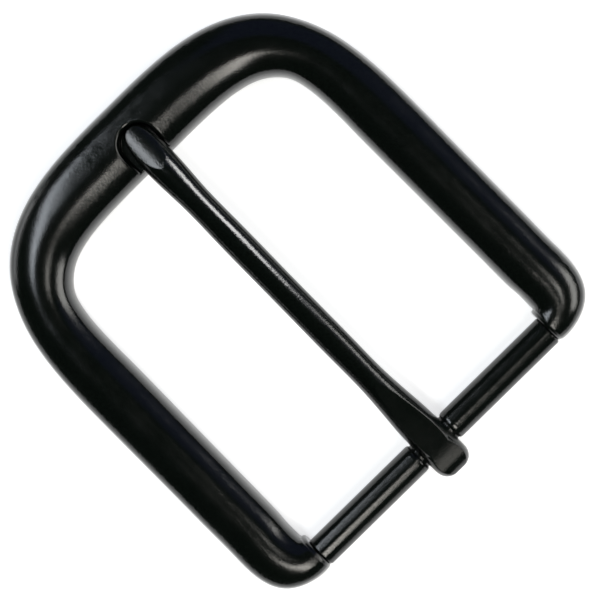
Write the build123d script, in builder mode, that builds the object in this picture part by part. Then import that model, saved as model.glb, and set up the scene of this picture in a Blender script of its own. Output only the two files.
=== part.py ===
"""A belt buckle for a 38 mm strap: a domed D-shaped frame, a heel bar across its open end, and a prong.

Millimetres. The origin is the middle of the heel bar's axis, +X runs from the bar to the front of the frame,
+Y runs along the bar, and +Z comes out of the face that is seen when the belt is worn.
"""

import os
from math import cos, radians, sin, sqrt, tan

from build123d import *

# ---- driving dimensions: frame -----------------------------------------------------------------------------
HALF_WINDOW = 20.0  # from the middle to each arm's inner flank, at the heel bar
BAR_END = 19.55  # from the middle to each arm's end face, which the bar's shoulder butts on
HALF_WIDTH = 27.55  # from the middle to each arm's outer flank
FRONT = 57.5  # from the bar's axis to the outer edge of the front
INNER_FRONT = 48.0  # from the bar's axis to the inner edge of the front
HEEL = -2.1  # where the arms end, behind the bar
BACK = -2.8  # the flat back that the buckle lies on
FRONT_HEIGHT = 6.3  # from back to crest
ARM_HEIGHT = 6.0
HEEL_HEIGHT = 5.6
BACK_EDGE = 0.6  # how far the back's edges are rounded in
LAPPED = 0.03  # what is taken off the back to leave it truly flat
FLANK_LEAN = 0.5  # how far the steep flanks lean in before the shoulder
FLANK_SLOPE = 66  # degrees, at the top of the flank
SHOULDER = 0.4  # width of the shoulder between flank and crown
SHOULDER_RISE = 0.55
SHOULDER_EASE = 0.2  # how far the shoulder's curve keeps to the flank and to the crown it joins
CROWN_SLOPE = 40  # degrees, where the crown meets the shoulder
CROWN_EASE = 0.33  # how far the crown's curve keeps to its slope at the foot, as a share of its half-width
WINDOW_FLARE = 0.3  # how much the arms draw apart towards the bar
END_FRONT = 3.1  # where the arms' end faces stop, in front of the bar
END_ROUND = 0.45  # rounding round the arms' end faces
END_STEP = 0.06  # the step at the foot of that rounding

# ---- driving dimensions: notch for the prong's tip ---------------------------------------------------------
NOTCH_RADIUS = 2.35  # at its floor
NOTCH_CENTRE = 51.2
NOTCH_FLOOR = 1.5
NOTCH_DRAFT = 8
NOTCH_RIM = 0.35  # rounding of its mouth

# ---- driving dimensions: heel bar --------------------------------------------------------------------------
BAR_RADIUS = 2.0
NECK_RADIUS = 1.75
NECK_HALF_LENGTH = 2.65
NECK_RUNOUT = 0.6
TENON_RADIUS = 1.25
TENON_LENGTH = 3.6

# ---- driving dimensions: prong -----------------------------------------------------------------------------
SHANK = 3.7  # diameter of the round shank
EYE_CLEARANCE = 0.06  # radial, between the eye and the neck
EYE_WIDTH = 4.8
EYE_BACK = -4.7
EYE_FRONT = 3.8
EYE_BOTTOM = -2.7
EYE_TOP = 2.95
EYE_ROUND = 1.75
SLIT = 0.35  # the gap left where the eye was closed round the neck
SLIT_ANGLE = -42  # degrees, where that gap opens below the shank
SET_OVER = 0.35  # how far the tip stands to -Y of the eye's middle
HEEL_FLAT_START = (11.0, 5.0)  # X and height of the flat on the heel, where it runs out on the shank
HEEL_FLAT_END = (-0.8, 2.76)  # where it starts to curve down to the eye's back
HEEL_EASE = 1.75  # how far that curve keeps to the flat and to the upright it joins
TIP_FLAT_START = (47.0, 5.54)  # the same for the facet on the bent-down tip
TIP_FLAT_END = (53.4, 3.2)
TIP_FLAT_RADIUS = 9.0  # the facet's crosswise rounding

# ---- frame -------------------------------------------------------------------------------------------------
# Both outlines are superellipses at the front and run straight along the arms. So is each heel corner.
# The cross-sections stand at these Y on the outer and inner outline round the front, at these X on them along
# the arms, and at these angles round the heel corners, with the X of their inner point and their height.
OUTER = {"centre": 29.0, "reach": FRONT - 29.0, "half": HALF_WIDTH, "power": 3.2}
INNER = {"centre": 35.0, "reach": INNER_FRONT - 35.0, "half": HALF_WINDOW - 0.4, "power": 4.4}
CORNER = {"centre": 5.5, "reach": 5.5 - HEEL, "half": HALF_WIDTH - HALF_WINDOW, "power": 2.6}
FRONT_STATIONS = [(0, 0), (4.5, 3.6), (9, 7.2), (13, 10.5), (17, 13.6), (20.5, 16.2), (23.4, 18)]
ARM_STATIONS = [(45.5, 43), (40, 39.5), (33, 33), (25, 25), (17, 17), (11, 11), (7.5, 7.5)]
HEEL_STATIONS = [(68, 5.3, 5.95), (46, 4.1, 5.85), (24, 3.4, 5.75), (0, END_FRONT, HEEL_HEIGHT)]


def outline_x(line, y):
    """How far a superellipse reaches beyond its centre, at a distance y from its axis."""
    return line["reach"] * (1 - (y / line["half"]) ** line["power"]) ** (1 / line["power"])


def outline_y(line, beyond):
    """Half-width of a superellipse at a distance beyond its centre; its full half-width short of it."""
    along = max(0, beyond / line["reach"])
    return line["half"] * (1 - along ** line["power"]) ** (1 / line["power"])


def stations():
    """Outer point, inner point and height of each cross-section, from the front's middle to an arm's end."""
    found = []
    for outer, inner in FRONT_STATIONS:
        outer_x = OUTER["centre"] + outline_x(OUTER, outer)
        inner_x = INNER["centre"] + outline_x(INNER, inner)
        found.append(((outer_x, outer), (inner_x, inner), FRONT_HEIGHT))
    for outer, inner in ARM_STATIONS:
        height = ARM_HEIGHT + (FRONT_HEIGHT - ARM_HEIGHT) * outer / FRONT
        inner_y = outline_y(INNER, inner - INNER["centre"]) + WINDOW_FLARE * (1 - inner / ARM_STATIONS[0][1])
        found.append(((outer, outline_y(OUTER, outer - OUTER["centre"])), (inner, inner_y), height))
    for angle, inner_x, height in HEEL_STATIONS:
        power = 2 / CORNER["power"]
        outer_x = CORNER["centre"] - CORNER["reach"] * cos(radians(angle)) ** power
        outer_y = HALF_WINDOW + CORNER["half"] * sin(radians(angle)) ** power
        found.append(((outer_x, outer_y), (inner_x, HALF_WINDOW), height))
    return found


def mirrored(station):
    (outer_x, outer_y), (inner_x, inner_y), height = station
    return (outer_x, -outer_y), (inner_x, -inner_y), height


def cross_section(outer, inner, height, inset=0):
    """A flat back with rounded edges, steep flanks, narrow shoulders and a crown, drawn in by the inset."""
    outer = Vector(*outer)
    inner = Vector(*inner)
    across = (outer - inner).normalized()
    w = (outer - inner).length / 2 - inset
    h = height + LAPPED - 2 * inset
    middle = (inner + outer) / 2 + Vector(0, 0, BACK - LAPPED + inset)
    crown = w - FLANK_LEAN - SHOULDER
    crown_ease = CROWN_EASE * crown
    crown_foot = (crown, h - crown * tan(radians(CROWN_SLOPE / 2)))
    flank_top = (w - FLANK_LEAN, crown_foot[1] - SHOULDER_RISE)
    bulge = w + FLANK_LEAN / 3
    knee = flank_top[1] - (bulge - flank_top[0]) * tan(radians(FLANK_SLOPE))
    with BuildSketch(Plane(middle, x_dir=across, z_dir=across.cross(Vector(0, 0, 1)))) as section:
        with BuildLine():
            flank = Bezier((w - BACK_EDGE, 0), (bulge, 0), (bulge, knee), flank_top)
            arc = Bezier(
                crown_foot,
                (crown - crown_ease, crown_foot[1] + crown_ease * tan(radians(CROWN_SLOPE))),
                (crown_ease, h),
                (0, h),
            )
            Bezier(
                flank @ 1,
                (flank @ 1) + (flank % 1) * SHOULDER_EASE,
                (arc @ 0) - (arc % 0) * SHOULDER_EASE,
                arc @ 0,
            )
            mirror(about=Plane.YZ)
            Line((-w + BACK_EDGE, 0), (w - BACK_EDGE, 0))
        make_face()
    return section.sketch


half = stations()
with BuildPart() as frame:
    loft([cross_section(*s) for s in [mirrored(s) for s in reversed(half[1:])] + half])

    # the arms' ends stand in a little from the flanks, rounded, for the bar's shoulders to butt on
    for side in (1, -1):
        rounded = []
        for part_way in (-0.6, 0, 0.5, 0.85, 1):
            y = side * (HALF_WINDOW + (BAR_END - HALF_WINDOW) * part_way)
            inset = END_STEP + (END_ROUND - END_STEP) * (1 - sqrt(1 - max(0, part_way) ** 2))
            rounded.append(cross_section((HEEL, y), (END_FRONT, y), HEEL_HEIGHT, inset))
        loft(rounded)
    split(bisect_by=Plane.XY.offset(BACK))

    # the notch that the prong's tip drops into, open to the window
    with BuildSketch(Plane.XY.offset(NOTCH_FLOOR)):
        with Locations((NOTCH_CENTRE, 0)):
            Circle(NOTCH_RADIUS)
            Rectangle(FRONT - INNER_FRONT, 2 * NOTCH_RADIUS, align=(Align.MAX, Align.CENTER))
    extrude(amount=FRONT_HEIGHT, taper=-NOTCH_DRAFT, mode=Mode.SUBTRACT)
    over_front = frame.edges().filter_by_position(Axis.X, INNER_FRONT - NOTCH_RIM, FRONT - SHOULDER)
    near_notch = over_front.filter_by_position(Axis.Y, -1.5 * NOTCH_RADIUS, 1.5 * NOTCH_RADIUS)
    fillet(near_notch.filter_by(lambda edge: edge.center().Z > NOTCH_FLOOR + NOTCH_RIM), NOTCH_RIM)

    # the holes that take the bar's tenons
    for side in (1, -1):
        with BuildSketch(Plane((0, side * BAR_END, 0), x_dir=(1, 0, 0), z_dir=(0, side, 0))):
            Circle(TENON_RADIUS)
        extrude(amount=TENON_LENGTH, mode=Mode.SUBTRACT)
frame.part.label = "frame"

# ---- heel bar ----------------------------------------------------------------------------------------------
with BuildPart() as heel_bar:
    with BuildSketch(Plane.XY):
        with BuildLine():
            neck = Line((NECK_RADIUS, 0), (NECK_RADIUS, NECK_HALF_LENGTH))
            runout = Spline(
                neck @ 1,
                (BAR_RADIUS, NECK_HALF_LENGTH + NECK_RUNOUT),
                tangents=[(1, 0.3), (0, 1)],
            )
            Polyline(
                runout @ 1,
                (BAR_RADIUS, BAR_END - 0.15),
                (BAR_RADIUS - 0.15, BAR_END),
                (TENON_RADIUS, BAR_END),
                (TENON_RADIUS, BAR_END + TENON_LENGTH),
                (0, BAR_END + TENON_LENGTH),
                (0, 0),
                neck @ 0,
            )
        make_face()
    revolve(axis=Axis.Y)
    mirror(about=Plane.XZ)
heel_bar.part.label = "heel_bar"

# ---- prong -------------------------------------------------------------------------------------------------
# X, centre height, width and height of the shank's cross-sections, from the eye to the bent-down tip.
SECTIONS = [
    (-2.2, 1.0, 3.9, 3.6),
    (2.2, 1.66, 4.72, 4.62),
    (6.6, 2.3, 4.25, 4.37),
    (11.0, 2.95, SHANK, 4.0),
    (16.0, 3.6, SHANK, SHANK),
    (22.0, 4.2, SHANK, SHANK),
    (29.0, 4.55, SHANK, SHANK),
    (36.0, 4.55, SHANK, SHANK),
    (42.0, 4.25, SHANK, SHANK),
    (46.5, 3.78, 4.15, 3.7),
    (49.5, 3.4, 4.0, 3.3),
    (51.6, 3.0, 3.4, 2.6),
    (52.8, 2.75, 2.55, 1.9),
    (53.35, 2.7, 1.3, 1.0),
]

with BuildPart() as prong:
    eye_height = (EYE_TOP + EYE_BOTTOM) / 2
    with BuildSketch(Plane.XZ):
        with Locations(((EYE_BACK + EYE_FRONT) / 2, eye_height)):
            SlotOverall(EYE_FRONT - EYE_BACK, EYE_TOP - EYE_BOTTOM)
    extrude(amount=EYE_WIDTH / 2, both=True)
    fillet(prong.faces().filter_by(Axis.Y).edges(), EYE_ROUND)
    for x, z, width, height in SECTIONS:
        set_over = SET_OVER * x / TIP_FLAT_END[0]
        with BuildSketch(Plane((x, -set_over, z), x_dir=(0, 1, 0), z_dir=(1, 0, 0))):
            Ellipse(width / 2, height / 2)
    loft()

    # the flat on the heel, which curves down to the back of the eye
    above = HEEL_FLAT_START[1] + SHANK
    behind = EYE_BACK - EYE_ROUND
    with BuildSketch(Plane.XZ):
        with BuildLine():
            flat = Line(HEEL_FLAT_START, HEEL_FLAT_END)
            back = Vector(EYE_BACK - EYE_CLEARANCE, eye_height)
            Bezier(flat @ 1, (flat @ 1) + (flat % 1) * HEEL_EASE, back + Vector(0, HEEL_EASE), back)
            Polyline(back, (behind, eye_height), (behind, above), (HEEL_FLAT_START[0], above), flat @ 0)
        make_face()
    extrude(amount=EYE_WIDTH, both=True, mode=Mode.SUBTRACT)

    # the facet on the tip, a little rounded crosswise
    facet = Vector(*TIP_FLAT_END) - Vector(*TIP_FLAT_START)
    facet_start = (TIP_FLAT_START[0], -SET_OVER, TIP_FLAT_START[1])
    with BuildSketch(Plane(facet_start, x_dir=(0, 1, 0), z_dir=(facet.X, 0, facet.Y))):
        with Locations((0, -TIP_FLAT_RADIUS / 4)):
            Rectangle(2 * SHANK, 2 * SHANK, align=(Align.CENTER, Align.MIN))
        with Locations((0, -TIP_FLAT_RADIUS)):
            Circle(TIP_FLAT_RADIUS, mode=Mode.SUBTRACT)
    extrude(amount=2 * facet.length, mode=Mode.SUBTRACT)

    # the eye's bore, and the slit left where its tail was closed
    with BuildSketch(Plane.XZ):
        Circle(NECK_RADIUS + EYE_CLEARANCE)
        with Locations(Location((0, 0), SLIT_ANGLE)):
            Rectangle(SHANK + NECK_RADIUS, SLIT, align=(Align.MIN, Align.CENTER))
    extrude(amount=EYE_WIDTH, both=True, mode=Mode.SUBTRACT)
prong.part.label = "prong"

os.makedirs("parts", exist_ok=True)
for piece in (frame, heel_bar, prong):
    export_step(piece.part, f"parts/{piece.part.label}.step")
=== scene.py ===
"""Looks of a belt buckle: a satin black coat on the frame, the heel bar and the prong, on a white table top.

Metres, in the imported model's frame: +X from the heel bar to the front, +Y along the bar, +Z up.
"""

import math

import bpy
from mathutils import Matrix, Vector


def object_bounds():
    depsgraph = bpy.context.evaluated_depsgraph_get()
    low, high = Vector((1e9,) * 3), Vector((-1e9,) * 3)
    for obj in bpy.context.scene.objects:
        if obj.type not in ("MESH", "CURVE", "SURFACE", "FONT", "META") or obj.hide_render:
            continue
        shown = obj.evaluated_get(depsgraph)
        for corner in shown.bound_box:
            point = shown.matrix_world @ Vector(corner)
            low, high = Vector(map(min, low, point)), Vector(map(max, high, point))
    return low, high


MM = 0.001
STRAIGHT_UP = Vector((0, 0, 1))
MIDDLE = Vector((27.5 * MM, 0, 0))  # the middle of the buckle's length, on the bar's axis

# ---- camera: nearly straight above, turned so that the front points to the upper left of the picture --------
AZIMUTH = math.radians(225.4)  # of the picture's right-hand side, in the XY plane
CAMERA_DISTANCE = 300 * MM
LEAN_RIGHT = math.radians(1.45)  # how far the camera stands to the right of straight above
LEAN_UP = math.radians(1.9)  # and how far towards the picture's top
VIEW_WIDTH = 73.65 * MM  # what the picture spans at that distance
SENSOR = 36.0  # in millimetres, as Blender takes it
CLIP_START = 10 * MM
AIM_RIGHT = 2.86 * MM  # the picture's centre, from MIDDLE
AIM_BELOW = 2.2 * MM

PICTURE_RIGHT = Vector((math.cos(AZIMUTH), math.sin(AZIMUTH), 0))
PICTURE_UP = Vector((-math.sin(AZIMUTH), math.cos(AZIMUTH), 0))

# ---- room ---------------------------------------------------------------------------------------------------
CEILING = 600 * MM  # height of the panels overhead
BOX_DISTANCE = 1.0  # of the soft boxes, from the bar's middle
SURROUNDINGS = (0.7, 1.0, 0.8, 1.0)
SURROUNDINGS_STRENGTH = 0.04
TABLE_HALF = 1.5
TABLE_COLOUR = (0.8, 0.8, 0.8, 1.0)
TABLE_ROUGHNESS = 0.9
TABLE_SPECULAR = 0.1
TABLE_GLOW = 0.72  # lifts the table top to white, as an overexposed background is

# ---- coat ---------------------------------------------------------------------------------------------------
ROUGHNESS = 0.16
ROUGHNESS_SPREAD = 0.03  # either way
GLOSS_RANGE = (0.3, 0.7)  # the part of the clouds' values that the spread covers
CLOUD_SCALE = 320.0  # clouds about 3 mm across
CLOUD_DETAIL = 3.0
GRAIN_SCALE = 5200.0  # grains about 0.2 mm across
GRAIN_DETAIL = 2.0
GRAIN_SEED_STEP = 5  # keeps the grain's pattern apart from every piece's clouds
GRAIN_DEPTH = 0.016 * MM
GRAIN_STRENGTH = 1.0
DARK_GRAIN = (0.35, (0.0003, 0.0005, 0.0004, 1))  # place on the grain's values, and colour there
PALE_GRAIN = (0.65, (0.0032, 0.0048, 0.0038, 1))
EDGE_RADIUS = 0.25 * MM
EDGE_SAMPLES = 8
EDGE_RANGE = (0.995, 0.93)  # cosine of the turn in the normal where the wear and the painted edge highlight start, and where they are full
# colour of the edges, partly wear and partly a painted highlight on the rounded edges
EDGE_WEAR_AND_HIGHLIGHT_COLOUR = (0.015, 0.015, 0.016, 1)


def turned_to(right, up, back):
    """The rotation of a camera or a light with these three axes."""
    return Matrix((right, up, back)).transposed().to_euler()


def make_camera():
    """Looks at a point a little beside the buckle's middle, as the picture is framed."""
    back = STRAIGHT_UP + PICTURE_RIGHT * math.tan(LEAN_RIGHT) + PICTURE_UP * math.tan(LEAN_UP)
    back.normalize()
    right = (PICTURE_RIGHT - back * PICTURE_RIGHT.dot(back)).normalized()
    up = back.cross(right)
    data = bpy.data.cameras.new("camera")
    data.sensor_width = SENSOR
    data.lens = SENSOR * CAMERA_DISTANCE / VIEW_WIDTH
    data.clip_start = CLIP_START
    camera = bpy.data.objects.new("camera", data)
    camera.location = MIDDLE + right * AIM_RIGHT - up * AIM_BELOW + back * CAMERA_DISTANCE
    camera.rotation_euler = turned_to(right, up, back)
    bpy.context.scene.collection.objects.link(camera)
    bpy.context.scene.camera = camera


def area_light(name, width, height, radiance, colour):
    """A rectangular light at the origin that faces straight down. Its radiance doesn't depend on its size."""
    data = bpy.data.lights.new(name, "AREA")
    data.shape = "RECTANGLE"
    data.size, data.size_y = width, height
    data.energy = radiance * math.pi * data.size * data.size_y
    data.color = colour
    light = bpy.data.objects.new(name, data)
    bpy.context.scene.collection.objects.link(light)
    return light


def softbox(name, bearing, zenith, across, along, radiance, colour):
    """A light that faces the bar's middle.

    bearing is measured in the picture from its right-hand side, anticlockwise, and zenith from straight above.
    across and along are the angles it spans sideways and up and down, all in degrees.
    """
    bearing, zenith = math.radians(bearing), math.radians(zenith)
    flat = PICTURE_RIGHT * math.cos(bearing) + PICTURE_UP * math.sin(bearing)
    towards = flat * math.sin(zenith) + STRAIGHT_UP * math.cos(zenith)
    sideways = STRAIGHT_UP.cross(towards).normalized()
    width = 2 * BOX_DISTANCE * math.tan(math.radians(across) / 2)
    height = 2 * BOX_DISTANCE * math.tan(math.radians(along) / 2)
    light = area_light(name, width, height, radiance, colour)
    light.location = towards * BOX_DISTANCE
    light.rotation_euler = turned_to(sideways, towards.cross(sideways), towards)
    return light


def ceiling_panel(name, x, y, radiance, colour, turn=0.0):
    """A light overhead, over these ranges of X and Y, then turned about its middle by some degrees."""
    light = area_light(name, x[1] - x[0], y[1] - y[0], radiance, colour)
    light.location = ((x[0] + x[1]) / 2, (y[0] + y[1]) / 2, CEILING)
    light.rotation_euler.z = math.radians(turn)
    return light


def light_only(lights, objects):
    """Each of these lights reaches only these objects."""
    for light in lights:
        receivers = bpy.data.collections.new(f"{light.name}_receivers")
        for obj in objects:
            receivers.objects.link(obj)
        light.light_linking.receiver_collection = receivers


def make_lights(prong, others):
    """Panels overhead, a broad box on the right, a low one on the left and dim blue surroundings.

    The first three panels leave out the prong, which has three small lights of its own.
    """
    over_front = ceiling_panel(
        "strip_front", x=(0.17, 1.0), y=(0.12, 0.235), radiance=9.0, colour=(0.86, 0.93, 1.0)
    )
    over_heel = ceiling_panel(
        "strip_heel", x=(-0.56, -0.12), y=(0.07, 0.18), radiance=10.5, colour=(1.0, 0.97, 0.9), turn=-7
    )
    over_corner = ceiling_panel(
        "panel_corner", x=(-0.19, -0.09), y=(-0.18, -0.08), radiance=7.0, colour=(1.0, 0.98, 0.92)
    )
    softbox(
        "box_right", bearing=9, zenith=61, across=46, along=20, radiance=5.5, colour=(1.0, 0.99, 0.95)
    )
    softbox(
        "box_low_left", bearing=168, zenith=84, across=36, along=14, radiance=2.5, colour=(0.97, 0.98, 1.0)
    )
    softbox(
        "blue_surroundings", bearing=75, zenith=52, across=70, along=50, radiance=0.14, colour=(0.28, 0.3, 1.0)
    )
    on_shank = softbox(
        "strip_on_shank", bearing=57, zenith=47, across=20, along=22, radiance=17.0, colour=(1.0, 1.0, 0.98)
    )
    on_eye = ceiling_panel(
        "strip_on_eye", x=(-0.9, -0.4), y=(0.0, 0.15), radiance=2.0, colour=(1.0, 0.97, 0.9)
    )
    on_tip = ceiling_panel(
        "strip_on_tip", x=(0.36, 0.9), y=(0.09, 0.25), radiance=8.0, colour=(0.9, 0.95, 1.0)
    )
    light_only((over_front, over_heel, over_corner), others)
    light_only((on_shank, on_eye, on_tip), [prong])
    world = bpy.data.worlds.new("studio")
    world.use_nodes = True
    shade = world.node_tree.nodes["Background"]
    shade.inputs["Color"].default_value = SURROUNDINGS
    shade.inputs["Strength"].default_value = SURROUNDINGS_STRENGTH
    bpy.context.scene.world = world


def make_table(height):
    """A white table top that the buckle lies on."""
    mesh = bpy.data.meshes.new("table_top")
    corners = [(x * TABLE_HALF, y * TABLE_HALF, height) for x, y in ((-1, -1), (1, -1), (1, 1), (-1, 1))]
    mesh.from_pydata(corners, [], [(0, 1, 2, 3)])
    table = bpy.data.objects.new("table_top", mesh)
    bpy.context.scene.collection.objects.link(table)
    material = bpy.data.materials.new("white_paper")
    material.use_nodes = True
    shader = material.node_tree.nodes["Principled BSDF"]
    shader.inputs["Base Color"].default_value = TABLE_COLOUR
    shader.inputs["Roughness"].default_value = TABLE_ROUGHNESS
    shader.inputs["Specular IOR Level"].default_value = TABLE_SPECULAR
    shader.inputs["Emission Color"].default_value = (1.0, 1.0, 1.0, 1.0)
    shader.inputs["Emission Strength"].default_value = TABLE_GLOW
    mesh.materials.append(material)
    return table


def add_node(material, kind, **settings):
    """A new shader node. A setting is a socket's value where a socket has its name, or else a property."""
    node = material.node_tree.nodes.new(kind)
    for key, value in settings.items():
        if key in node.inputs:
            node.inputs[key].default_value = value
        else:
            setattr(node, key, value)
    return node


def noise(material, seed, scale, detail):
    """Noise that is fixed to the piece. Each seed is another slice through it."""
    place = add_node(material, "ShaderNodeTexCoord").outputs["Object"]
    node = add_node(material, "ShaderNodeTexNoise", noise_dimensions="4D", W=seed, Scale=scale, Detail=detail)
    material.node_tree.links.new(place, node.inputs["Vector"])
    return node.outputs["Fac"]


def remap(material, value, given, wanted):
    """The value with the range given stretched over the range wanted."""
    node = add_node(material, "ShaderNodeMapRange")
    node.inputs["From Min"].default_value, node.inputs["From Max"].default_value = given
    node.inputs["To Min"].default_value, node.inputs["To Max"].default_value = wanted
    material.node_tree.links.new(value, node.inputs["Value"])
    return node.outputs["Result"]


def satin_black(name, seed):
    """Satin black electrocoat: a fine grain, a slightly uneven gloss, and edges painted a little brighter,
    partly as wear and partly as a painted highlight.
    """
    material = bpy.data.materials.new(name)
    material.use_nodes = True
    link = material.node_tree.links.new
    shader = material.node_tree.nodes["Principled BSDF"]

    cloud = noise(material, seed, CLOUD_SCALE, CLOUD_DETAIL)
    grain = noise(material, seed + GRAIN_SEED_STEP, GRAIN_SCALE, GRAIN_DETAIL)

    # edges painted lighter, partly as wear and partly as a painted highlight: where the rounded normal leaves
    # the true one, broken up by the clouds
    rounded = add_node(material, "ShaderNodeBevel", samples=EDGE_SAMPLES, Radius=EDGE_RADIUS)
    geometry = add_node(material, "ShaderNodeNewGeometry")
    agree = add_node(material, "ShaderNodeVectorMath", operation="DOT_PRODUCT")
    link(rounded.outputs["Normal"], agree.inputs[0])
    link(geometry.outputs["Normal"], agree.inputs[1])
    wear_and_highlight = add_node(material, "ShaderNodeMath", operation="MULTIPLY")
    link(remap(material, agree.outputs["Value"], EDGE_RANGE, (0, 1)), wear_and_highlight.inputs[0])
    link(cloud, wear_and_highlight.inputs[1])

    tint = add_node(material, "ShaderNodeValToRGB")
    for stop, (position, shade) in zip(tint.color_ramp.elements, (DARK_GRAIN, PALE_GRAIN)):
        stop.position, stop.color = position, shade
    link(grain, tint.inputs["Fac"])
    # mixes in the lighter edge colour, partly wear and partly a painted highlight
    colour = add_node(material, "ShaderNodeMix", data_type="RGBA")
    colour.inputs["B"].default_value = EDGE_WEAR_AND_HIGHLIGHT_COLOUR
    link(wear_and_highlight.outputs["Value"], colour.inputs["Factor"])
    link(tint.outputs["Color"], colour.inputs["A"])
    link(colour.outputs["Result"], shader.inputs["Base Color"])

    glossy_to_dull = (ROUGHNESS - ROUGHNESS_SPREAD, ROUGHNESS + ROUGHNESS_SPREAD)
    link(remap(material, cloud, GLOSS_RANGE, glossy_to_dull), shader.inputs["Roughness"])

    bump = add_node(material, "ShaderNodeBump", Strength=GRAIN_STRENGTH, Distance=GRAIN_DEPTH)
    link(grain, bump.inputs["Height"])
    link(rounded.outputs["Normal"], bump.inputs["Normal"])
    link(bump.outputs["Normal"], shader.inputs["Normal"])
    return material


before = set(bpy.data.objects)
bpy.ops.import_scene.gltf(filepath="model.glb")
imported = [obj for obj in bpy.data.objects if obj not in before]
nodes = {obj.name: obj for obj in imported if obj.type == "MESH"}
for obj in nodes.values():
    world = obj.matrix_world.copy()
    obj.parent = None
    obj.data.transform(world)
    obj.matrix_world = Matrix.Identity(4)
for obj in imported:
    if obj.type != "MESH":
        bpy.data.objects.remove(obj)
cad_low, cad_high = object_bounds()
bpy.context.scene.view_settings.view_transform = "Standard"

make_camera()
table_top = make_table(cad_low[2])
make_lights(nodes["prong"], [nodes["frame"], nodes["heel_bar"], table_top])
for number, node in enumerate(("frame", "heel_bar", "prong")):
    coat = satin_black(f"satin_black_{node}", number)
    for slot in nodes[node].material_slots:
        slot.material = coat
